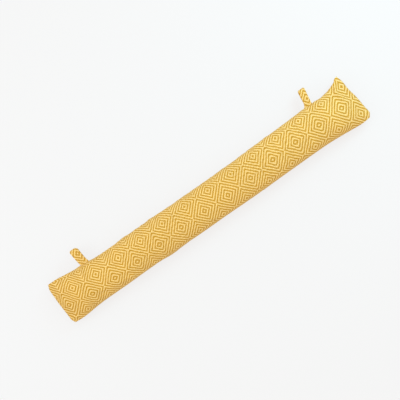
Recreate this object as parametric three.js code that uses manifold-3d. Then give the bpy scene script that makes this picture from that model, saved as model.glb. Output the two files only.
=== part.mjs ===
// A draught excluder: a stuffed tube of diamond twill, with two hanging loops sewn into its long seam.
// Millimetres, +Z up, lying on its back as on a floor. +X runs along the tube and +Y points to the loops.
// The origin is on the flat underside, below the middle of the tube.

import * as THREE from "three";
import { mergeVertices } from "three/addons/utils/BufferGeometryUtils.js";
import Module from "manifold-3d";

// Heights of the stuffed tube
const CROWN_HEIGHT = 71; // floor to crown, along the middle of the tube
const SEAM_HEIGHT = 34; // floor to the long seam and to the fold
const END_SEAM_HEIGHT = 27; // the end seams hang lower than the long one
const END_SAG_REACH = 120; // the seam line drops over this length before each end
const SEAM_THICKNESS = 3; // two layers of cloth with their turnings

// How the tube closes to its end seams
const END_ROUNDING = 105; // from an end seam to full height
const END_BLUNTNESS = 2.2; // higher keeps the full height nearer to the end
const END_STEEPNESS = 0.8; // lower is steeper where the cloth leaves the end seam
const OVAL = 0.5; // the power that makes a section of the tube an oval
const CORNER_FLATNESS = 0.42; // added to that power at the ends, where the corners are flat
const CORNER_REACH = 48; // over which that fades, going in from an end seam
const UNDERSIDE_SQUARENESS = 2.9; // 2 is a round underside, higher is flatter
const UNDERSIDE_SQUASH = 0.8; // the filling is pressed flat by this much where it meets the floor

// Mesh fineness
const RINGS = 66;
const RINGS_BUNCHED = 0.42; // share of their spacing that draws the rings towards the ends
const POINTS_ACROSS = 18; // over the top, and again underneath

// The tube seen from above: x along it, with the y of its loop edge and of its fold edge.
const OUTLINE = [
  { x: -446, loopEdge: 59.5, foldEdge: -56.0 },
  { x: -432, loopEdge: 61.0, foldEdge: -58.4 },
  { x: -410, loopEdge: 57.8, foldEdge: -57.4 },
  { x: -378, loopEdge: 52.0, foldEdge: -54.6 },
  { x: -346, loopEdge: 52.0, foldEdge: -53.0 },
  { x: -306, loopEdge: 47.1, foldEdge: -53.2 },
  { x: -262, loopEdge: 46.5, foldEdge: -53.3 },
  { x: -227, loopEdge: 48.3, foldEdge: -52.6 },
  { x: -188, loopEdge: 47.7, foldEdge: -52.7 },
  { x: -148, loopEdge: 48.2, foldEdge: -55.1 },
  { x: -100, loopEdge: 46.8, foldEdge: -53.7 },
  { x: -50, loopEdge: 46.7, foldEdge: -54.0 },
  { x: 10, loopEdge: 46.6, foldEdge: -53.6 },
  { x: 69, loopEdge: 47.0, foldEdge: -54.2 },
  { x: 130, loopEdge: 48.3, foldEdge: -54.2 },
  { x: 188, loopEdge: 50.1, foldEdge: -53.2 },
  { x: 250, loopEdge: 51.0, foldEdge: -52.7 },
  { x: 300, loopEdge: 52.9, foldEdge: -52.2 },
  { x: 340, loopEdge: 54.0, foldEdge: -52.9 },
  { x: 372, loopEdge: 52.2, foldEdge: -55.8 },
  { x: 394, loopEdge: 55.8, foldEdge: -57.8 },
  { x: 412, loopEdge: 62.8, foldEdge: -59.4 },
  { x: 428, loopEdge: 69.2, foldEdge: -59.8 },
  { x: 440, loopEdge: 70.0, foldEdge: -59.4 },
];

// The end seams seen from above: share is -1 at the fold edge and 1 at the loop edge.
const END_SEAMS = [
  { share: -1.0, leftX: -443.0, rightX: 436.5 },
  { share: -0.93, leftX: -446.6, rightX: 446.0 },
  { share: -0.8, leftX: -447.4, rightX: 449.0 },
  { share: -0.4, leftX: -448.4, rightX: 447.6 },
  { share: 0.0, leftX: -449.8, rightX: 445.0 },
  { share: 0.4, leftX: -450.0, rightX: 439.8 },
  { share: 0.8, leftX: -449.8, rightX: 439.2 },
  { share: 0.93, leftX: -448.0, rightX: 438.0 },
  { share: 1.0, leftX: -442.0, rightX: 433.5 },
];

// Main hollows and swellings of the filling, seen from above. Raise is on the top surface.
const LUMPS = [
  { x: -352, y: 36, raise: -2.6, halfLength: 26, halfWidth: 16 },
  { x: -405, y: 8, raise: 1.2, halfLength: 30, halfWidth: 30 },
  { x: -262, y: -18, raise: -1.2, halfLength: 44, halfWidth: 26 },
  { x: -130, y: 14, raise: 1.0, halfLength: 50, halfWidth: 26 },
  { x: 12, y: -8, raise: -0.9, halfLength: 46, halfWidth: 30 },
  { x: 150, y: 10, raise: 1.0, halfLength: 60, halfWidth: 26 },
  { x: 262, y: -16, raise: -1.3, halfLength: 40, halfWidth: 24 },
  { x: 335, y: 38, raise: -2.2, halfLength: 26, halfWidth: 15 },
  { x: 385, y: 34, raise: -2.8, halfLength: 20, halfWidth: 20 },
  { x: 400, y: -26, raise: 1.4, halfLength: 26, halfWidth: 22 },
];

// Hanging loops: each is a doubled strip, so seen along the seam it is a flat teardrop.
const LOOPS = [
  { name: "loop_left", x: -340.4, width: 20.6, reach: 45.0, lean: -4.8, tipRadius: 6.6 },
  { name: "loop_right", x: 337.2, width: 17.6, reach: 44.5, lean: 5.6, tipRadius: 6.3 },
];
const STRIP_THICKNESS = 2.6; // four layers of the cloth, pressed
const LOOP_DROOP = 4; // the tip hangs this much lower than the seam
const ROOT_LENGTH = 6; // where the two legs are sewn together
const ROOT_BURIED = 12; // run inside the tube, and cut back by it
const TIP_STEPS = 14; // around the tip
const WIDTH_STEPS = 4; // across the strip
const CORNER_ROUNDING = 2.2; // the strip narrows this much at each side of its fold
const ROUNDING_STARTS = 0.86; // at this share of a loop's reach
const GAP = 0.3; // between pieces that touch
const WELD = 1e-4; // corners nearer than this are one

const CLOTH_YELLOW = 0xe2b25c;

// Smooth value of one column of a table at a place between its rows.
function tableValue(table, key, column, at) {
  const last = table.length - 1;
  if (at <= table[0][key]) return table[0][column];
  if (at >= table[last][key]) return table[last][column];
  let row = 0;
  while (table[row + 1][key] < at) row += 1;
  const before = table[Math.max(row - 1, 0)];
  const from = table[row];
  const to = table[row + 1];
  const after = table[Math.min(row + 2, last)];
  const span = to[key] - from[key];
  const share = (at - from[key]) / span;
  const slopeFrom = ((to[column] - before[column]) / (to[key] - before[key])) * span;
  const slopeTo = ((after[column] - from[column]) / (after[key] - from[key])) * span;
  const square = share * share;
  const cube = square * share;
  return (
    (2 * cube - 3 * square + 1) * from[column] +
    (cube - 2 * square + share) * slopeFrom +
    (3 * square - 2 * cube) * to[column] +
    (cube - square) * slopeTo
  );
}

// Share of full height at a distance in from an end seam.
function endFullness(distance) {
  const share = THREE.MathUtils.clamp(distance / END_ROUNDING, 0, 1);
  return Math.pow(1 - Math.pow(1 - share, END_BLUNTNESS), END_STEEPNESS);
}

// Height of the seam line: it sags towards the end seams.
function seamHeight(distance) {
  const share = THREE.MathUtils.clamp(distance / END_SAG_REACH, 0, 1);
  const sag = (1 - share) * (1 - share);
  return SEAM_HEIGHT - (SEAM_HEIGHT - END_SEAM_HEIGHT) * sag;
}

function lumpRaise(x, y) {
  let raise = 0;
  for (const lump of LUMPS) {
    const along = (x - lump.x) / lump.halfLength;
    const across = (y - lump.y) / lump.halfWidth;
    raise += lump.raise * Math.exp(-along * along - across * across);
  }
  return raise;
}

// A point of the tube's skin. along and across are its shares between the end seams and between the edges,
// side is 1 on the top and -1 underneath, and grow moves the skin outwards.
function skinPoint(along, across, side, grow) {
  const leftX = tableValue(END_SEAMS, "share", "leftX", across) - grow;
  const rightX = tableValue(END_SEAMS, "share", "rightX", across) + grow;
  const x = leftX + (rightX - leftX) * along;
  const loopEdge = tableValue(OUTLINE, "x", "loopEdge", x) + grow;
  const foldEdge = tableValue(OUTLINE, "x", "foldEdge", x) - grow;
  const y = foldEdge + ((loopEdge - foldEdge) * (1 + across)) / 2;
  const distance = Math.min(x - leftX, rightX - x);
  const fullness = endFullness(distance);
  const seam = seamHeight(distance);
  const half = SEAM_THICKNESS / 2 + grow;
  const cornerPower = OVAL + CORNER_FLATNESS * Math.exp(-distance / CORNER_REACH);
  if (side > 0) {
    const section = Math.pow(1 - across * across, cornerPower);
    const rise = (CROWN_HEIGHT - SEAM_HEIGHT - half + lumpRaise(x, y)) * fullness + half;
    return new THREE.Vector3(x, y, seam + rise * section);
  }
  const rounded = 1 - Math.pow(Math.abs(across), UNDERSIDE_SQUARENESS);
  const section = Math.pow(rounded, cornerPower);
  const drop = (seam + UNDERSIDE_SQUASH - half) * fullness + half;
  return new THREE.Vector3(x, y, Math.max(seam - drop * section, -grow));
}

// The tube: rings of points around it, closed at both ends by the narrow face of the end seam.
function bodyGeometry(grow) {
  const positions = [];
  const around = 2 * POINTS_ACROSS;
  for (let ring = 0; ring <= RINGS; ring += 1) {
    const even = ring / RINGS;
    const bunched = (1 - Math.cos(Math.PI * even)) / 2;
    const along = even + (bunched - even) * RINGS_BUNCHED;
    for (let point = 0; point < around; point += 1) {
      const angle = (Math.PI * point) / POINTS_ACROSS;
      const side = point <= POINTS_ACROSS ? 1 : -1;
      const place = skinPoint(along, Math.cos(angle), side, grow);
      positions.push(place.x, place.y, place.z);
    }
  }
  const faces = [];
  for (let ring = 0; ring < RINGS; ring += 1) {
    for (let point = 0; point < around; point += 1) {
      const next = (point + 1) % around;
      const a = ring * around + point;
      const b = ring * around + next;
      const c = a + around;
      const d = b + around;
      faces.push(a, b, d, a, d, c);
    }
  }
  closeEnd(faces, 0, false);
  closeEnd(faces, RINGS * around, true);
  const geometry = new THREE.BufferGeometry();
  geometry.setAttribute("position", new THREE.Float32BufferAttribute(positions, 3));
  geometry.setIndex(faces);
  return geometry;
}

// Joins the top points of an end ring to the points straight below them.
function closeEnd(faces, first, turned) {
  const around = 2 * POINTS_ACROSS;
  for (let point = 0; point < POINTS_ACROSS; point += 1) {
    const top = first + point;
    const nextTop = top + 1;
    const below = first + ((around - point) % around);
    const nextBelow = first + around - point - 1;
    const pair = [];
    if (top !== below) pair.push([top, below, nextBelow]);
    if (nextTop !== nextBelow) pair.push([top, nextBelow, nextTop]);
    for (const [a, b, c] of pair) {
      if (turned) faces.push(a, c, b);
      else faces.push(a, b, c);
    }
  }
}

// The teardrop's centre line, out from the seam and up from it, from the lower root round the tip to the upper.
function teardropLine(loop) {
  const rootHalf = STRIP_THICKNESS / 2;
  const tipCentre = loop.reach - STRIP_THICKNESS / 2 - loop.tipRadius;
  const line = [
    new THREE.Vector2(-ROOT_BURIED, -rootHalf),
    new THREE.Vector2(ROOT_LENGTH, -rootHalf),
  ];
  for (let step = 0; step <= TIP_STEPS; step += 1) {
    const angle = -Math.PI / 2 + (Math.PI * step) / TIP_STEPS;
    line.push(
      new THREE.Vector2(
        tipCentre + loop.tipRadius * Math.cos(angle),
        loop.tipRadius * Math.sin(angle),
      ),
    );
  }
  line.push(new THREE.Vector2(ROOT_LENGTH, rootHalf));
  line.push(new THREE.Vector2(-ROOT_BURIED, rootHalf));
  return line;
}

// The teardrop's cut face: outside line there and inside line back, fused at the root.
function teardropShape(loop) {
  const half = STRIP_THICKNESS / 2;
  const line = teardropLine(loop);
  const outside = [];
  const inside = [];
  line.forEach((place, index) => {
    const before = line[Math.max(index - 1, 0)];
    const after = line[Math.min(index + 1, line.length - 1)];
    const heading = after.clone().sub(before).normalize();
    const outward = new THREE.Vector2(heading.y, -heading.x);
    outside.push(place.clone().addScaledVector(outward, half));
    inside.push(place.clone().addScaledVector(outward, -half));
  });
  const hollow = inside.slice(2, -2);
  const shape = new THREE.Shape(outside);
  const throat = new THREE.Vector2(ROOT_LENGTH + 2 * STRIP_THICKNESS, 0);
  shape.holes.push(new THREE.Path([throat, ...hollow]));
  return shape;
}

// The loop's solid, bent from the extruded teardrop: it leans along the seam, droops, and its fold is rounded.
function loopGeometry(loop, seamY, seamZ) {
  const geometry = new THREE.ExtrudeGeometry(teardropShape(loop), {
    depth: loop.width,
    steps: WIDTH_STEPS,
    bevelEnabled: false,
  });
  const places = geometry.getAttribute("position");
  for (let index = 0; index < places.count; index += 1) {
    const out = places.getX(index);
    const up = places.getY(index);
    const across = places.getZ(index) / loop.width - 0.5;
    const share = Math.max(out, 0) / loop.reach;
    const nearTip = Math.max(share - ROUNDING_STARTS, 0) / (1 - ROUNDING_STARTS);
    const narrowed = loop.width - 2 * CORNER_ROUNDING * nearTip * nearTip;
    const x = loop.x + loop.lean * share + across * narrowed;
    places.setXYZ(index, x, seamY + out, seamZ + up - LOOP_DROOP * share * share);
  }
  geometry.deleteAttribute("normal");
  geometry.deleteAttribute("uv");
  return geometry;
}

const wasm = await Module();
wasm.setup();

function solidFrom(geometry) {
  const merged = mergeVertices(geometry, WELD);
  const vertProperties = merged.getAttribute("position").array;
  const triVerts = new Uint32Array(merged.index.array);
  return new wasm.Manifold(new wasm.Mesh({ numProp: 3, vertProperties, triVerts }));
}

function geometryFrom(solid) {
  const mesh = solid.getMesh();
  const geometry = new THREE.BufferGeometry();
  geometry.setAttribute("position", new THREE.BufferAttribute(mesh.vertProperties, 3));
  geometry.setIndex(new THREE.BufferAttribute(mesh.triVerts, 1));
  return geometry;
}

const cloth = new THREE.MeshStandardMaterial({
  color: CLOTH_YELLOW,
  roughness: 0.92,
  metalness: 0,
});

function pieceMesh(name, geometry) {
  geometry.computeVertexNormals();
  const mesh = new THREE.Mesh(geometry, cloth);
  mesh.name = name;
  return mesh;
}

const draughtExcluder = new THREE.Group();
draughtExcluder.add(pieceMesh("body", bodyGeometry(0)));

// Each loop stops just clear of the seam that holds it.
const tubeWithGap = solidFrom(bodyGeometry(GAP));
for (const loop of LOOPS) {
  const seamY = tableValue(OUTLINE, "x", "loopEdge", loop.x);
  const whole = solidFrom(loopGeometry(loop, seamY, SEAM_HEIGHT));
  draughtExcluder.add(pieceMesh(loop.name, geometryFrom(whole.subtract(tubeWithGap))));
}

export default draughtExcluder;
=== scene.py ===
"""A stuffed draught excluder of mustard and cream diamond twill, lying with its two hanging loops out."""

import math

import bmesh
import bpy
import numpy as np
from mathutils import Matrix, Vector, noise
from mathutils.bvhtree import BVHTree
from mathutils.kdtree import KDTree


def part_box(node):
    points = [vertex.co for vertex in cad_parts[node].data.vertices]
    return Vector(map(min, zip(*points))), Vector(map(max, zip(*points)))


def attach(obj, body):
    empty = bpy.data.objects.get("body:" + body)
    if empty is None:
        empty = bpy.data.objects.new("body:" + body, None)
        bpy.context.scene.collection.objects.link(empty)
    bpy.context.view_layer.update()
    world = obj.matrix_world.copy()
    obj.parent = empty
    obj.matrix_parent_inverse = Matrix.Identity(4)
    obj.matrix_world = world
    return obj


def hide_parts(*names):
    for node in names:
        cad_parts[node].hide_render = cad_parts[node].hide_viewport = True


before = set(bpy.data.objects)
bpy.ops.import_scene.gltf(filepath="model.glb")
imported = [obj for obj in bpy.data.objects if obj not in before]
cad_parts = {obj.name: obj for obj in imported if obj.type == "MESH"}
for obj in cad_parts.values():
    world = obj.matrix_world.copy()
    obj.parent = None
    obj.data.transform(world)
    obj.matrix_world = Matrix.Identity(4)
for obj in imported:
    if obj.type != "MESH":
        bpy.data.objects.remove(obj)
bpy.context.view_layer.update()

# The cover is one rectangle of cloth, laid out in this many cells. Lengths are in metres.
CELLS_ALONG = 460
CELLS_ROUND = 140
SAME_PLACE = 1e-6  # points nearer than this are sewn into one
TINY = 1e-12  # keeps a length of nothing from dividing

# How finely the tube is read from the frame before its cloth is laid out evenly
READ_ACROSS = 73
READ_ALONG = 401
READ_FROM = 1.0  # rays start this far out
READ_INSIDE = 0.004  # the first and last sections lie this far inside the tube's ends
SEAM_LOWEST = 0.022  # the seam and the fold lie between these heights
SEAM_HIGHEST = 0.038
SEAM_HEIGHT_STEPS = 17
END_SEAM_HEIGHT = 0.027
EDGE_SMOOTHING = 4  # rounds that take the frame's facets out of the long seam and the fold
CORNER_READ = 0.040  # the corners lie within this length of the ends
CORNER_ROUND = 0.2  # no corner is rounded off further than this share of the half width
CORNER_STEPS = 41
INSIDE_END = 0.0003  # rays for an end seam's height fall this far inside it
FACET_SMOOTHING = 40  # rounds that take the frame's facets out of the cloth
SMOOTH_IN = 0.60  # each round draws the cloth in by this share
SMOOTH_OUT = -0.62  # and lets it out again, so that the tube keeps its girth

# The filled cloth, which a pressure blows up from a little inside the tube
START_INSIDE = 0.002
CLOTH_QUALITY = 6
CLOTH_MASS = 0.3
CLOTH_BENDING = 0.5
CLOTH_PRESSURE = 4.0
CLOTH_FRAMES = 20
WRINKLE_BREADTH = 14  # rounds of softening that find the tube's broad form, which stays as it is
WRINKLE_MOST = 0.003  # no wrinkle is deeper
STEADY_LENGTH = 60  # rounds of softening along the tube that find what is the same all along it
END_SEAM_STIFF = 0.006  # the end seams, stiff with their turnings, hold their line
END_WRINKLES = 0.08  # how far from the end seams the wrinkles keep all their depth

# Seams: how deep they are drawn in, how far that reaches, and the puckers that run out from them
SEAM_GROOVE = 0.0022
SEAM_GROOVE_REACH = 0.005
LONG_PUCKER = 0.0014
LONG_SEAM_PITCH = 0.010
LONG_SEAM_REACH = 0.022
LONG_SEAM_CHANCE = 3.7  # picks one row of uneven puckers
END_PUCKER = 0.0020
END_SEAM_PITCH = 0.011
END_SEAM_REACH = 0.035
END_SEAM_CHANCE = 8.2
UNDER_CHANCE = 0.31  # makes the puckers underneath differ from those on the top
PUCKER_CHANCE = 0.5  # the slice of the noise that all puckers are read from
LEAST_FILLING = 0.35  # of the thickness that was there before sewing
ROOT_DENT = 0.0020  # where a loop is caught in the seam
ROOT_DENT_REACH = 0.011
ROOT_FOLD = 0.0008  # small folds that fan out from there
ROOT_FOLDS = 7
ROOT_FOLD_START = 0.001  # past the seam, where the fan has its middle

# Turned corners that stick out, and how far the pull is felt
CORNERS = [
    {"x": 0.4335, "y": 0.0722, "reach": 0.014},
    {"x": 0.4505, "y": -0.0460, "reach": 0.009},
]
CORNER_CALM = 0.012  # wrinkles and puckers fade out this near to a corner
CORNER_CALM_POWER = 4  # higher fades them more suddenly
CORNER_SOFTENING = 6

# The weave: a point twill, whose diamonds turn back at these counts of yarns
CROSS_YARN = 0.001105  # pitch of the yarns that run round the tube, counted along it
LENGTH_YARN = 0.0012258  # pitch of the yarns that run along the tube, counted round it
TURN_ALONG = 31
TURN_ROUND = 31
RING_YARNS = 8  # one light line and one dark line of a diamond
CREAM_SHARE = 0.5  # of those yarns show cream
YARN_MIDDLE = 0.5
LIGHT_BEFORE = 1  # a light line starts this many yarns before each full ring
DIAMOND_AT = -0.0245  # along the tube, where a light-dotted diamond has its middle
CLOTH_GIVE = 0.041  # the cloth is pulled longer towards the right end, by this much a metre
SLOPE_SHARE = 0.35  # of a slope's rise that counts in the cloth's length, because the cloth is eased there
CLOTH_WIDENS = 0.20  # the cloth is pulled wider towards the right end, by this share a metre

# How the cloth lies: the y of a row of light-dotted diamonds on the top, at places along the tube
DIAMOND_ROW = [
    {"x": -0.431, "y": -0.0108},
    {"x": -0.363, "y": -0.0218},
    {"x": -0.295, "y": -0.0216},
    {"x": -0.229, "y": -0.0198},
    {"x": -0.160, "y": -0.0166},
    {"x": -0.093, "y": -0.0123},
    {"x": -0.025, "y": -0.0122},
    {"x": 0.044, "y": -0.0134},
    {"x": 0.113, "y": -0.0108},
    {"x": 0.182, "y": -0.0050},
    {"x": 0.254, "y": -0.0016},
    {"x": 0.324, "y": -0.0004},
    {"x": 0.395, "y": 0.0022},
    {"x": 0.430, "y": 0.0048},
]

# Hanging loops: strips folded to four layers, pressed, doubled, and caught in the long seam.
# The open edge of the fold faces the middle of the tube. Each tip's two corners are rounded off by amounts
# of their own, the open edge flares at the root, and the strip bows a little to one side. The last three
# values place the pattern: where a diamond has its middle on the strip, and whether it is a dark-dotted one.
LOOPS = [
    {"name": "loop_left", "x": -0.3400, "width": 0.0214, "reach": 0.0450, "lean": -0.0048,
     "tip": 0.0066, "open": 1, "corner": 0.0055, "open_corner": 0.0100, "flare": 0.0012, "bow": -0.0006,
     "diamond_across": 0.0025, "diamond_along": 0.0183, "dark_dotted": 0},
    {"name": "loop_right", "x": 0.3358, "width": 0.0176, "reach": 0.0445, "lean": 0.0068,
     "tip": 0.0063, "open": -1, "corner": 0.0045, "open_corner": 0.0040, "flare": 0.0045, "bow": -0.0004,
     "diamond_across": 0.0035, "diamond_along": 0.0306, "dark_dotted": 1},
]
STRIP_THICKNESS = 0.0026
LOOP_DROOP = 0.0040  # the tip hangs this much lower than the seam
LEGS_MEET = 0.0060  # the legs lie together for this length
LEGS_APART = 0.0003  # the gap between them there
LOOP_BURIED = 0.0080  # sewn in behind the seam
SLIT_DEPTH = 0.0016  # of the open edge
SLIT_WIDTH = 0.0004
FLARE_SHARE = 0.25  # of the loop's reach, where its open edge spreads towards the seam
STRIP_CELLS_ROUND = 52
STRIP_CELLS_ALONG = 84
LIP_STEPS = 7
TIP_STEPS = 15
LEG_SMOOTHING = 10  # rounds that bend the legs gently into the tip

# Finish of the yarns
CREAM = (0.862, 0.585, 0.222, 1.0)
MUSTARD = (0.542, 0.278, 0.022, 1.0)
SHEEN = (1.0, 0.90, 0.68, 1.0)
SHEEN_WEIGHT = 0.05
SHEEN_ROUGHNESS = 0.45
GLOSS = 0.3
ROUGHNESS = (0.78, 0.92)
WEAVE_DEPTH = 0.0004
WEAVE_STRENGTH = 0.5
YARN_HEIGHTS = (0.35, 1.0)  # where a yarn dips under, and amid its float
FIBRE_SCALE = 1400.0
FIBRE_DETAIL = 2.0
FIBRE_RELIEF = 0.25
CLOUD_SCALE = 9.0  # broad uneven patches
CLOUD_DETAIL = 3.0

# How much darker and lighter each of these makes the cloth
CREAM_TONES = (0.94, 1.06)  # from yarn to yarn
MUSTARD_TONES = (0.93, 1.07)
FIBRE_TONES = (0.93, 1.07)
CLOUD_TONES = (0.95, 1.05)
# painted shade in the dips between yarns and painted light on their crowns, set by each yarn's height
WEAVE_PAINTED_SHADE_TONES = (0.80, 1.08)
CREAM_CHANCE = 11.5
MUSTARD_CHANCE = 47.5

# The photograph's view
FRAME_WIDTH = 0.985  # of the picture, at the height of the seam
VIEW_PLANE = 0.035  # that height
CAMERA_HEIGHT = 2.4  # above it
CAMERA_CENTRE = (-0.0175, 0.0153)
CAMERA_TURN = -34.93  # degrees
SENSOR = 36.0

# A flat soft light from above, a cool window past each end, and a pale floor that keeps shadows faint
LIGHTS = [
    {"name": "key", "place": (0.15, 0.50, 2.5), "aim": (0.0, 0.0, 0.0), "size": 2.8,
     "energy": 20.4, "colour": (1.0, 0.98, 0.96)},
    {"name": "right_window", "place": (0.95, 0.35, 0.75), "aim": (0.35, 0.0, 0.0), "size": 0.5,
     "energy": 5.8, "colour": (0.40, 0.85, 1.0)},
    {"name": "left_window", "place": (-0.95, 0.30, 0.80), "aim": (-0.35, 0.0, 0.0), "size": 0.5,
     "energy": 2.2, "colour": (0.75, 0.95, 1.0)},
]
ROOM_LIGHT = (1.0, 0.945, 0.80, 1.0)
ROOM_STRENGTH = 0.885
FLOOR_RADIUS = 14.0
FLOOR_SEGMENTS = 96
FLOOR_GREY = (0.14, 0.14, 0.14, 1.0)
FLOOR_GLOW = (1.0, 1.0, 1.02, 1.0)
FLOOR_GLOW_STRENGTH = 0.740


def smooth_rows(points, rounds):
    """Takes facets out of the tube's points without shrinking it. The end seams stay."""
    for step in (SMOOTH_IN, SMOOTH_OUT) * rounds:
        around = (np.roll(points[:-1], 1, axis=0) + np.roll(points[:-1], -1, axis=0)) / 2
        around = np.concatenate([around, around[:1]])
        along = points.copy()
        along[:, 1:-1] = (points[:, :-2] + points[:, 2:]) / 2
        points[:, 1:-1] += (step * ((around + along) / 2 - points))[:, 1:-1]
    return points


def evenly(line, count):
    """As many points as count, at equal distances along a line of points."""
    steps = np.linalg.norm(np.diff(line, axis=0), axis=1)
    walked = np.concatenate([[0.0], np.cumsum(steps)])
    wanted = np.linspace(0.0, walked[-1], count)
    return np.stack([np.interp(wanted, walked, line[:, axis]) for axis in range(3)], axis=1)


class Tube:
    """The CAD body's skin, read with rays."""

    def __init__(self):
        skin = bmesh.new()
        skin.from_mesh(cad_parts["body"].data)
        self.tree = BVHTree.FromBMesh(skin)
        skin.free()
        self.low, self.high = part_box("body")
        self.x = np.linspace(self.low.x + READ_INSIDE, self.high.x - READ_INSIDE, READ_ALONG)
        self.loop_edge = self.carried_on(np.array([self.edge(x, 1) for x in self.x]), 1)
        self.fold_edge = self.carried_on(np.array([self.edge(x, -1) for x in self.x]), -1)

    def hit(self, start, direction):
        """Where a ray first meets the skin, or None."""
        return self.tree.ray_cast(Vector(start), Vector(direction))[0]

    def edge(self, x, side):
        """The y and z of the widest place of the section at x."""
        best = (-READ_FROM, END_SEAM_HEIGHT)
        for z in np.linspace(SEAM_LOWEST, SEAM_HIGHEST, SEAM_HEIGHT_STEPS):
            found = self.hit((x, side * READ_FROM, z), (0, -side, 0))
            if found is not None and side * found.y > best[0]:
                best = (side * found.y, z)
        return side * best[0], best[1]

    def carried_on(self, edge, side):
        """The edge, which past its outermost place near each end runs straight on to the end seam."""
        for _ in range(EDGE_SMOOTHING):
            edge[1:-1] = (edge[:-2] + 2 * edge[1:-1] + edge[2:]) / 4
        near = int(CORNER_READ / (self.x[1] - self.x[0]))
        first = (side * edge[:near, 0]).argmax()
        last = len(edge) - near + (side * edge[-near:, 0]).argmax()
        edge[:first] = edge[first]
        edge[last:] = edge[last]
        return edge

    def end(self, side, y, middle):
        """The x of an end seam at y, read a little nearer the middle where the corner is rounded off."""
        reads = []
        for inset in np.linspace(0, CORNER_ROUND, CORNER_STEPS):
            moved = (middle - y) * inset
            found = self.hit((side * READ_FROM, y + moved, END_SEAM_HEIGHT), (-side, 0, 0))
            if found is not None:
                reads.append((side * found.x - abs(moved), found.x))
        return max(reads)[1]

    def column(self, table, x):
        """The y and z of an edge at x."""
        return np.interp(x, self.x, table[:, 0]), np.interp(x, self.x, table[:, 1])

    def skin(self):
        """Rows of points over the top and rows underneath, each from the loop edge to the fold edge."""
        across = np.cos(np.linspace(0, math.pi, READ_ACROSS))
        ends = {}
        for side, near in ((-1, self.x[0]), (1, self.x[-1])):
            loop_y = self.column(self.loop_edge, near)[0]
            fold_y = self.column(self.fold_edge, near)[0]
            middle, half = (loop_y + fold_y) / 2, (loop_y - fold_y) / 2
            ends[side] = np.array([self.end(side, middle + half * share, middle) for share in across])
        top = np.zeros((READ_ACROSS, READ_ALONG, 3))
        under = np.zeros_like(top)
        for column, share in enumerate(np.linspace(0, 1, READ_ALONG)):
            x = ends[-1] + (ends[1] - ends[-1]) * share
            loop_y, loop_z = self.column(self.loop_edge, x)
            fold_y, fold_z = self.column(self.fold_edge, x)
            y = fold_y + (loop_y - fold_y) * (1 + across) / 2
            seam_z = fold_z + (loop_z - fold_z) * (1 + across) / 2
            for row in range(READ_ACROSS):
                seen_x = min(max(x[row], ends[-1][row] + INSIDE_END), ends[1][row] - INSIDE_END)
                for points, way in ((top, -1), (under, 1)):
                    found = None
                    if 0 < row < READ_ACROSS - 1:
                        found = self.hit((seen_x, y[row], -way * READ_FROM), (0, 0, way))
                    z = seam_z[row] if found is None else found.z
                    points[row, column] = (x[row], y[row], z)
        return top, under


def lay_cloth(tube):
    """The cover's grid of points on the tube: rows from the long seam round to it again, columns along."""
    top, under = tube.skin()
    half = CELLS_ROUND // 2 + 1
    rows = np.zeros((CELLS_ROUND + 1, READ_ALONG, 3))
    for column in range(READ_ALONG):
        rows[:half, column] = evenly(top[:, column], half)
        rows[half - 1:, column] = evenly(under[::-1, column], half)
    points = np.stack([evenly(row, CELLS_ALONG + 1) for row in rows])
    for column in (0, -1):
        points[:, column] = (points[:, column] + points[::-1, column]) / 2
    return smooth_rows(points, FACET_SMOOTHING)


def make_object(name, mesh):
    """A new object of the scene."""
    made = bpy.data.objects.new(name, mesh)
    bpy.context.scene.collection.objects.link(made)
    return made


def cloth_mesh(name, points, measure):
    """A grid of cloth laid on points, where measure holds each point's place in the flat cloth, in metres."""
    rows, columns = points.shape[:2]
    cloth = bmesh.new()
    bmesh.ops.create_grid(cloth, x_segments=columns - 1, y_segments=rows - 1, size=0.5)
    flat = cloth.loops.layers.uv.new("cloth")
    places = measure.reshape(-1, 2)
    for face in cloth.faces:
        for corner in face.loops:
            corner[flat].uv = places[corner.vert.index]
    for vertex, place in zip(cloth.verts, points.reshape(-1, 3)):
        vertex.co = place
    bmesh.ops.remove_doubles(cloth, verts=cloth.verts[:], dist=SAME_PLACE)
    bmesh.ops.holes_fill(cloth, edges=[edge for edge in cloth.edges if edge.is_boundary])
    bmesh.ops.recalc_face_normals(cloth, faces=cloth.faces[:])
    mesh = bpy.data.meshes.new(name)
    cloth.to_mesh(mesh)
    cloth.free()
    for polygon in mesh.polygons:
        polygon.use_smooth = True
    return mesh


def walked_along(points, axis):
    """How far each point lies along its line of points."""
    steps = np.linalg.norm(np.diff(points, axis=axis), axis=2)
    start = np.zeros_like(np.take(steps, [0], axis=axis))
    return np.cumsum(np.concatenate([start, steps], axis=axis), axis=axis)


def cover_measure(points):
    """Each point's place in the flat cloth, along and round, from the middle of a light-dotted diamond."""
    rows, columns = points.shape[:2]
    eased = points * (1.0, 1.0, SLOPE_SHARE)
    along = walked_along(eased, 1)
    for row in range(rows):
        along[row] -= np.interp(DIAMOND_AT, points[row, :, 0], along[row])
    around = walked_along(points, 0)
    top = slice(rows // 2, None, -1)
    for column in range(columns):
        x = points[rows // 4, column, 0]
        y = np.interp(x, [row["x"] for row in DIAMOND_ROW], [row["y"] for row in DIAMOND_ROW])
        around[:, column] -= np.interp(y, points[top, column, 1], around[top, column])
    around /= 1 + CLOTH_WIDENS * points[:, :, 0]
    return np.stack([along * (1 - CLOTH_GIVE * along), around], axis=2)


def close_seams(points):
    """Brings the two edges of each seam together: the long one, and top to under at both ends."""
    points[[0, -1]] = (points[0] + points[-1]) / 2
    points[:, [0, -1]] = (points[:, [0, -1]] + points[::-1, [0, -1]]) / 2
    return points


def outward(points):
    """The direction out of the tube at each point of its cloth."""
    wrapped = np.concatenate([points[-2:-1], points, points[1:2]])
    around = (wrapped[2:] - wrapped[:-2]) / 2
    way = np.cross(around, np.gradient(points, axis=1))
    way /= np.maximum(np.linalg.norm(way, axis=2), TINY)[:, :, None]
    return way


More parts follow.
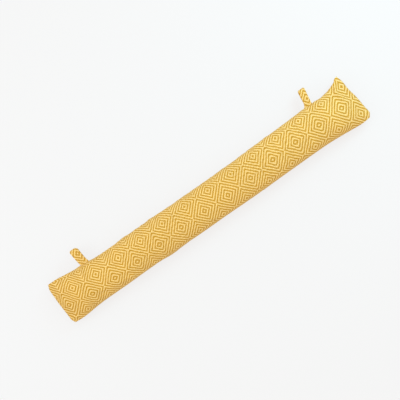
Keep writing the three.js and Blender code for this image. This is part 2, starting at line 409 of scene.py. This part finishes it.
def softened(moves, rounds):
    """The broad part of the cloth's moves. Each round spreads them by about one cell."""
    for _ in range(rounds):
        wrapped = np.concatenate([moves[-2:-1], moves, moves[1:2]])
        moves = (wrapped[:-2] + 2 * moves + wrapped[2:]) / 4
        spread = np.concatenate([moves[:, :1], moves, moves[:, -1:]], axis=1)
        moves = (spread[:, :-2] + 2 * moves + spread[:, 2:]) / 4
    return moves


def finer(moves):
    """Moves of every second point, filled in between."""
    rows = np.repeat(moves, 2, axis=0)[:-1]
    rows[1::2] = (moves[:-1] + moves[1:]) / 2
    filled = np.repeat(rows, 2, axis=1)[:, :-1]
    filled[:, 1::2] = (rows[:, :-1] + rows[:, 1:]) / 2
    return filled


def settle(points, measure):
    """Fills the sewn cloth by pressure, and returns only the wrinkles that it takes on."""
    start = points - START_INSIDE * outward(points)
    piece = make_object("settling", cloth_mesh("settling", close_seams(start), measure))
    near = KDTree(len(piece.data.vertices))
    for vertex in piece.data.vertices:
        near.insert(vertex.co, vertex.index)
    near.balance()
    home = np.array([near.find(place)[1] for place in start.reshape(-1, 3)])
    cloth = piece.modifiers.new("cloth", "CLOTH").settings
    cloth.quality = CLOTH_QUALITY
    cloth.mass = CLOTH_MASS
    cloth.bending_stiffness = CLOTH_BENDING
    cloth.use_pressure = True
    cloth.uniform_pressure_force = CLOTH_PRESSURE
    cloth.effector_weights.gravity = 0
    for step in range(1, CLOTH_FRAMES + 1):
        bpy.context.scene.frame_set(step)
    settled = piece.evaluated_get(bpy.context.evaluated_depsgraph_get()).data
    places = np.array([vertex.co for vertex in settled.vertices])[home].reshape(points.shape)
    bpy.data.objects.remove(piece)
    bpy.context.scene.frame_set(1)
    moves = places - start
    wrinkles = moves - softened(moves, WRINKLE_BREADTH)
    steady = wrinkles
    for _ in range(STEADY_LENGTH):
        spread = np.concatenate([steady[:, :1], steady, steady[:, -1:]], axis=1)
        steady = (spread[:, :-2] + 2 * steady + spread[:, 2:]) / 4
    wrinkles = wrinkles - steady * (1 - end_share(points, END_WRINKLES))[:, :, None]
    depth = np.linalg.norm(wrinkles, axis=2)[:, :, None]
    wrinkles *= np.minimum(1, WRINKLE_MOST / np.maximum(depth, TINY)) * calm(points)
    return wrinkles * (1 - end_share(points, END_SEAM_STIFF))[:, :, None]


def end_share(points, reach):
    """1 at the end seams, falling to nothing at reach from them."""
    from_left = walked_along(points, 1)
    from_end = np.minimum(from_left, from_left[:, -1:] - from_left)
    return np.clip(1 - from_end / reach, 0, 1) ** 2


def seam_share(points, reach):
    """1 at the long seam, falling to nothing at reach from it."""
    from_seam = walked_along(points, 0)
    from_seam = np.minimum(from_seam, from_seam[-1:] - from_seam)
    return np.clip(1 - from_seam / reach, 0, 1) ** 2


def waves(places, pitch, seed):
    """An uneven row of puckers, one about each pitch."""
    return np.array([noise.noise((place / pitch, seed, PUCKER_CHANCE)) for place in places])


def calm(points):
    """0 at the four corners of the cover, where its rows crowd together, rising to 1 away from them."""
    share = np.ones(points.shape[:2])
    for row in (0, points.shape[0] // 2):
        for column in (0, -1):
            apart = np.linalg.norm(points - points[row, column], axis=2)
            share *= 1 - np.exp(-(apart / CORNER_CALM) ** CORNER_CALM_POWER)
    return share[:, :, None]


def sew(points):
    """Draws in the long seam and the end seams, with the puckers that run out from their stitches."""
    x = points[0, :, 0]
    long_puckers = waves(x, LONG_SEAM_PITCH, LONG_SEAM_CHANCE) * LONG_PUCKER
    drawn = seam_share(points, LONG_SEAM_REACH) * long_puckers[None, :]
    drawn -= seam_share(points, SEAM_GROOVE_REACH) * SEAM_GROOVE
    share = end_share(points, END_SEAM_REACH)
    halfway = 4 * share * (1 - share)
    middle = points.shape[1] // 2
    for side, column, inner, half in ((0, 0, 1, slice(0, middle)), (1, -1, -2, slice(middle, None))):
        over = np.sign(points[:, inner, 2] - points[:, column, 2])
        y = points[:, column, 1] + UNDER_CHANCE * over
        puckers = waves(y, END_SEAM_PITCH, END_SEAM_CHANCE + side) * END_PUCKER
        drawn[:, half] += (halfway * puckers[:, None])[:, half]
    for loop in LOOPS:
        apart = np.linalg.norm(points - points[0, np.abs(x - loop["x"]).argmin()], axis=2)
        from_root = points[0, :, 1] + ROOT_FOLD_START - points[:, :, 1]
        folds = np.cos(np.arctan2(points[:, :, 0] - loop["x"], from_root) * ROOT_FOLDS)
        dent = np.exp(-(apart / ROOT_DENT_REACH) ** 2)
        drawn -= dent * (ROOT_DENT + ROOT_FOLD * folds)
    return points + outward(points) * drawn[:, :, None] * calm(points)


def keep_filled(points, before):
    """Keeps top and under apart by a share of the filling that was between them, and off the floor."""
    gap = before - before[::-1]
    filled = np.linalg.norm(gap, axis=2)
    way = gap / np.maximum(filled, TINY)[:, :, None]
    left = ((points - points[::-1]) * way).sum(axis=2)
    lack = np.maximum(LEAST_FILLING * filled - left, 0)
    points = points + way * lack[:, :, None] / 2
    points[:, :, 2] = np.maximum(points[:, :, 2], 0.0)
    return points


def pull_corners(points):
    """Takes the crowded rows' roughness out of the corners, and pulls two of them out to their tips."""
    points = points + (softened(points, CORNER_SOFTENING) - points) * (1 - calm(points))
    for corner in CORNERS:
        tip = np.array([corner["x"], corner["y"]])
        column = 0 if corner["x"] < 0 else -1
        gaps = np.linalg.norm(points[:, column, :2] - tip, axis=1)
        nearest = points[gaps.argmin(), column]
        move = np.zeros(3)
        move[:2] = tip - nearest[:2]
        apart = np.linalg.norm(points - nearest, axis=2)
        points = points + np.exp(-(apart / corner["reach"]) ** 2)[:, :, None] * move
    return points


def body_cover(tube):
    """The whole cover: laid on the tube, filled, sewn, and its corners pulled."""
    points = lay_cloth(tube)
    measure = cover_measure(points)
    points = keep_filled(points + finer(settle(points[::2, ::2], measure[::2, ::2])), points)
    before = points
    points = keep_filled(pull_corners(sew(points)), before)
    mesh = cloth_mesh("cover", close_seams(points), measure)
    return make_object("cover", mesh)


def arc(centre, radius, start, stop, steps=LIP_STEPS):
    """Points on an arc between two angles, in degrees."""
    turns = np.radians(np.linspace(start, stop, steps))
    return [(centre[0] + radius * math.cos(turn), centre[1] + radius * math.sin(turn)) for turn in turns]


def flat_line(places, count):
    """Evenly spaced points on a plane line, with how far along it each one lies."""
    line = np.array([(*place, 0.0) for place in places])
    points = evenly(line, count)
    length = np.linalg.norm(np.diff(line, axis=0), axis=1).sum()
    return points[:, :2], np.linspace(0, length, count)


def strip_profile(loop):
    """Round the folded strip from the slit of its open edge, over the outer face, and back below."""
    half = STRIP_THICKNESS / 2
    lip = (STRIP_THICKNESS - SLIT_WIDTH) / 4
    edge = loop["width"] / 2
    slit = [(edge - lip - SLIT_DEPTH, 0.0)]
    upper_lip = arc((edge - lip, half - lip), lip, -90, 90)
    fold = arc((half - edge, 0.0), half, 90, 270)
    lower_lip = arc((edge - lip, lip - half), lip, -90, 90)
    return flat_line(slit + upper_lip + fold + lower_lip + slit, STRIP_CELLS_ROUND + 1)


def teardrop(loop):
    """The doubled strip's middle line seen along the seam: out from the seam and up."""
    half = (STRIP_THICKNESS + LEGS_APART) / 2
    tip_centre = (loop["reach"] - half - loop["tip"], 0.0)
    root = [(-LOOP_BURIED, -half), (LEGS_MEET, -half)]
    back = [(LEGS_MEET, half), (-LOOP_BURIED, half)]
    tip = arc(tip_centre, loop["tip"], -90, 90, TIP_STEPS)
    line, walked = flat_line(root + tip + back, STRIP_CELLS_ALONG + 1)
    for _ in range(LEG_SMOOTHING):
        line[1:-1] = (line[:-2] + 2 * line[1:-1] + line[2:]) / 4
    return line, walked - walked[-1] / 2


def loop_strip(loop, seam_y, seam_z):
    """A hanging loop: the folded strip's profile carried along the doubled strip's middle line."""
    profile, around = strip_profile(loop)
    line, along = teardrop(loop)
    heading = np.gradient(line, axis=0)
    heading /= np.linalg.norm(heading, axis=1)[:, None]
    outward = np.stack([heading[:, 1], -heading[:, 0]], axis=1)
    rows, columns = len(profile), len(line)
    points = np.zeros((rows, columns, 3))
    measure = np.zeros((rows, columns, 2))
    face_middle = around[-1] / 4
    for row, (across, rise) in enumerate(profile):
        place = line + rise * outward
        share = np.maximum(place[:, 0], 0) / loop["reach"]
        corner = loop["open_corner"] if across > 0 else loop["corner"]
        near_tip = np.clip((share - 1) * loop["reach"] / corner + 1, 0, 1)
        drawn_in = corner * (1 - np.sqrt(1 - near_tip ** 2)) * 2 / loop["width"]
        near_root = np.maximum(1 - share / FLARE_SHARE, 0) ** 2
        spread = loop["flare"] * near_root * max(across * 2 / loop["width"], 0)
        middle = loop["x"] + loop["lean"] * share + loop["bow"] * np.sin(math.pi * share)
        points[row, :, 0] = middle + loop["open"] * (across * (1 - drawn_in) + spread)
        points[row, :, 1] = seam_y + place[:, 0]
        points[row, :, 2] = seam_z + place[:, 1] - LOOP_DROOP * share ** 2
        cloth_across = loop["open"] * (face_middle - around[row])
        measure[row, :, 0] = cloth_across - loop["diamond_across"]
        measure[row, :, 1] = along - loop["diamond_along"]
    measure[:, :, 0] += loop["dark_dotted"] * TURN_ALONG * CROSS_YARN
    measure[:, :, 1] += loop["dark_dotted"] * TURN_ROUND * LENGTH_YARN
    return make_object(loop["name"] + "_strip", cloth_mesh(loop["name"] + "_strip", points, measure))


class Net:
    """Short names for wiring a material's nodes."""

    def __init__(self, name):
        self.material = bpy.data.materials.new(name)
        self.material.use_nodes = True
        self.nodes = self.material.node_tree.nodes
        self.links = self.material.node_tree.links
        self.shader = self.nodes["Principled BSDF"]

    def add(self, kind, **settings):
        """A new node with these settings."""
        node = self.nodes.new(kind)
        for key, value in settings.items():
            setattr(node, key, value)
        return node

    def feed(self, socket, value):
        """Links a socket to another node, or sets it to a plain value."""
        if isinstance(value, bpy.types.NodeSocket):
            self.links.new(value, socket)
        else:
            socket.default_value = value

    def math(self, operation, *values):
        """A sum or another operation on numbers."""
        node = self.add("ShaderNodeMath", operation=operation)
        for socket, value in zip(node.inputs, values):
            self.feed(socket, value)
        return node.outputs[0]

    def spread(self, value, low, high):
        """A share between 0 and 1 spread over a range."""
        return self.math("MULTIPLY_ADD", value, high - low, low)

    def blend(self, share, first, second):
        """One number where share is 0, the other where it is 1."""
        node = self.add("ShaderNodeMix")
        for socket, value in zip(node.inputs[:1] + node.inputs[2:4], (share, first, second)):
            self.feed(socket, value)
        return node.outputs[0]

    def noise(self, place, scale, detail):
        """Uneven shares between 0 and 1, read at a place."""
        node = self.add("ShaderNodeTexNoise")
        self.feed(node.inputs["Vector"], place)
        node.inputs["Scale"].default_value = scale
        node.inputs["Detail"].default_value = detail
        return node.outputs["Fac"]

    def mix(self, share, first, second):
        """One colour where share is 0, the other where it is 1."""
        node = self.add("ShaderNodeMix", data_type="RGBA")
        self.feed(node.inputs["Factor"], share)
        self.feed(node.inputs[6], first)
        self.feed(node.inputs[7], second)
        return node.outputs[2]


def float_lift(net, turned, crossing, turn):
    """How far a yarn stands up: 1 amid its float, 0 where it dips under, and less where it is hidden."""
    centred = net.math("SUBTRACT", crossing, YARN_MIDDLE)
    turned_crossing = net.math("PINGPONG", centred, float(turn))
    counted = net.math("ADD", turned, turned_crossing)
    ring = net.math("MULTIPLY_ADD", counted, 1 / RING_YARNS, (LIGHT_BEFORE + YARN_MIDDLE) / RING_YARNS)
    return net.math("SINE", net.math("MULTIPLY", ring, 2 * math.pi))


def yarn_round(net, share):
    """The round profile of a yarn, from its place across it."""
    centred = net.math("MULTIPLY_ADD", share, 2.0, -1.0)
    return net.math("SUBTRACT", 1.0, net.math("MULTIPLY", centred, centred))


def yarn_tone(net, count, seed, low, high):
    """A tone of its own for each yarn."""
    chance = net.add("ShaderNodeTexWhiteNoise", noise_dimensions="1D")
    net.feed(chance.inputs["W"], net.math("ADD", count, seed))
    return net.spread(chance.outputs["Value"], low, high)


def twill(name):
    """Cream yarns cross mustard yarns in a point twill, with each float's relief, and painted shade where the
    yarns dip under and painted light amid their floats.
    """
    net = Net(name)
    measure = net.add("ShaderNodeUVMap", uv_map="cloth")
    parts = net.add("ShaderNodeSeparateXYZ")
    net.links.new(measure.outputs[0], parts.inputs[0])
    along = net.math("DIVIDE", parts.outputs[0], CROSS_YARN)
    around = net.math("DIVIDE", parts.outputs[1], LENGTH_YARN)
    cross_count = net.math("FLOOR", along)
    length_count = net.math("FLOOR", around)
    turned_along = net.math("PINGPONG", cross_count, float(TURN_ALONG))
    turned_round = net.math("PINGPONG", length_count, float(TURN_ROUND))
    counted = net.math("ADD", turned_along, turned_round)
    ring = net.math("MULTIPLY_ADD", counted, 1 / RING_YARNS, LIGHT_BEFORE / RING_YARNS)
    cream_up = net.math("LESS_THAN", net.math("FRACT", ring), CREAM_SHARE)

    cross_round = yarn_round(net, net.math("FRACT", along))
    length_round = yarn_round(net, net.math("FRACT", around))
    cross_lift = float_lift(net, turned_along, around, TURN_ROUND)
    length_lift = net.math("MULTIPLY", float_lift(net, turned_round, along, TURN_ALONG), -1.0)
    cross_height = net.math("MULTIPLY", cross_round, net.spread(cross_lift, *YARN_HEIGHTS))
    length_height = net.math("MULTIPLY", length_round, net.spread(length_lift, *YARN_HEIGHTS))
    height = net.blend(cream_up, length_height, cross_height)

    object_place = net.add("ShaderNodeTexCoord").outputs["Object"]
    fibre = net.noise(object_place, FIBRE_SCALE, FIBRE_DETAIL)
    cloud = net.noise(object_place, CLOUD_SCALE, CLOUD_DETAIL)
    cream_tone = yarn_tone(net, cross_count, CREAM_CHANCE, *CREAM_TONES)
    mustard_tone = yarn_tone(net, length_count, MUSTARD_CHANCE, *MUSTARD_TONES)
    tone = net.blend(cream_up, mustard_tone, cream_tone)
    tone = net.math("MULTIPLY", tone, net.spread(fibre, *FIBRE_TONES))
    tone = net.math("MULTIPLY", tone, net.spread(cloud, *CLOUD_TONES))
    # Painted shade where the yarns dip under and painted light amid their floats, from the weave's height
    tone = net.math("MULTIPLY", tone, net.spread(height, *WEAVE_PAINTED_SHADE_TONES))
    plain = net.mix(cream_up, MUSTARD, CREAM)
    colour = net.add("ShaderNodeVectorMath", operation="SCALE")
    net.feed(colour.inputs[0], plain)
    net.feed(colour.inputs["Scale"], tone)
    net.links.new(colour.outputs[0], net.shader.inputs["Base Color"])

    relief = net.math("MULTIPLY_ADD", fibre, FIBRE_RELIEF, height)
    bump = net.add("ShaderNodeBump")
    bump.inputs["Strength"].default_value = WEAVE_STRENGTH
    bump.inputs["Distance"].default_value = WEAVE_DEPTH
    net.feed(bump.inputs["Height"], relief)
    net.links.new(bump.outputs[0], net.shader.inputs["Normal"])
    net.feed(net.shader.inputs["Roughness"], net.spread(fibre, *ROUGHNESS))
    net.shader.inputs["Specular IOR Level"].default_value = GLOSS
    net.shader.inputs["Sheen Weight"].default_value = SHEEN_WEIGHT
    net.shader.inputs["Sheen Roughness"].default_value = SHEEN_ROUGHNESS
    net.shader.inputs["Sheen Tint"].default_value = SHEEN
    return net.material


def soft_light(light):
    """An area light that faces its aim."""
    area = bpy.data.lights.new(light["name"], "AREA")
    area.size = light["size"]
    area.energy = light["energy"]
    area.color = light["colour"]
    lamp = make_object(light["name"], area)
    lamp.location = light["place"]
    lamp.rotation_mode = "QUATERNION"
    lamp.rotation_quaternion = (lamp.location - Vector(light["aim"])).to_track_quat("Z", "Y")


def stage():
    """The camera above the photograph's view, the pale floor and the soft lights."""
    camera = bpy.data.cameras.new("camera")
    camera.sensor_width = SENSOR
    camera.lens = SENSOR * CAMERA_HEIGHT / FRAME_WIDTH
    seen = make_object("camera", camera)
    seen.location = (*CAMERA_CENTRE, VIEW_PLANE + CAMERA_HEIGHT)
    seen.rotation_euler = (0, 0, math.radians(CAMERA_TURN))
    bpy.context.scene.camera = seen

    ground = bmesh.new()
    bmesh.ops.create_circle(ground, cap_ends=True, segments=FLOOR_SEGMENTS, radius=FLOOR_RADIUS)
    mesh = bpy.data.meshes.new("floor")
    ground.to_mesh(mesh)
    ground.free()
    floor = make_object("floor", mesh)
    paint = Net("floor_paint")
    paint.shader.inputs["Base Color"].default_value = FLOOR_GREY
    paint.shader.inputs["Roughness"].default_value = 1.0
    paint.shader.inputs["Emission Color"].default_value = FLOOR_GLOW
    paint.shader.inputs["Emission Strength"].default_value = FLOOR_GLOW_STRENGTH
    mesh.materials.append(paint.material)

    for light in LIGHTS:
        soft_light(light)
    world = bpy.data.worlds.new("studio")
    world.use_nodes = True
    world.node_tree.nodes["Background"].inputs[0].default_value = ROOM_LIGHT
    world.node_tree.nodes["Background"].inputs[1].default_value = ROOM_STRENGTH
    bpy.context.scene.world = world
    bpy.context.scene.view_settings.view_transform = "Standard"


def dress(piece, node, cloth):
    """Gives a sewn piece its cloth and puts it in its node's place."""
    piece.data.materials.append(cloth)
    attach(piece, "root")
    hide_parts(node)


stage()
diamond_twill = twill("diamond_twill")
tube = Tube()
cover = body_cover(tube)
dress(cover, "body", diamond_twill)
for loop in LOOPS:
    strip = loop_strip(loop, *tube.edge(loop["x"], 1))
    dress(strip, loop["name"], diamond_twill)
